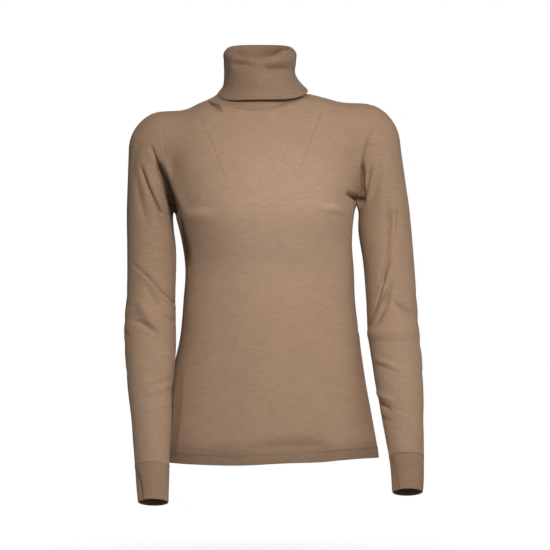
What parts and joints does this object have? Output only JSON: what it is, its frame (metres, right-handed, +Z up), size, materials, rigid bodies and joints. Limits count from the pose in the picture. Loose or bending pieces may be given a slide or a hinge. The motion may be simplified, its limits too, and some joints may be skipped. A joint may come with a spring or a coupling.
{
  "type": "roll-neck pullover",
  "caption": "Fine-knit roll-neck pullover with long sleeves, a rolled-down collar, cuffs and a narrow welt, hollow and filled out as worn.",
  "frame": {"origin": "middle of the neck opening at the height of the neckline seam, where the garment rests on its wearer's neck and shoulders", "axes": "+Z up, front of the garment towards -Y, the wearer's left sleeve at +X"},
  "size_m": [0.4676, 0.2299, 0.7251],
  "materials": {
    "jersey": "fine plain knit, matt with a soft nap",
    "rib": "firmer fine double knit, matt"
  },
  "bodies": {
    "root": {"front": "jersey", "back": "jersey", "hem_front": "rib", "hem_back": "rib", "sleeve_right": "jersey", "sleeve_left": "jersey", "cuff_right": "rib", "cuff_left": "rib", "collar": "jersey"}
  },
  "joints": []
}
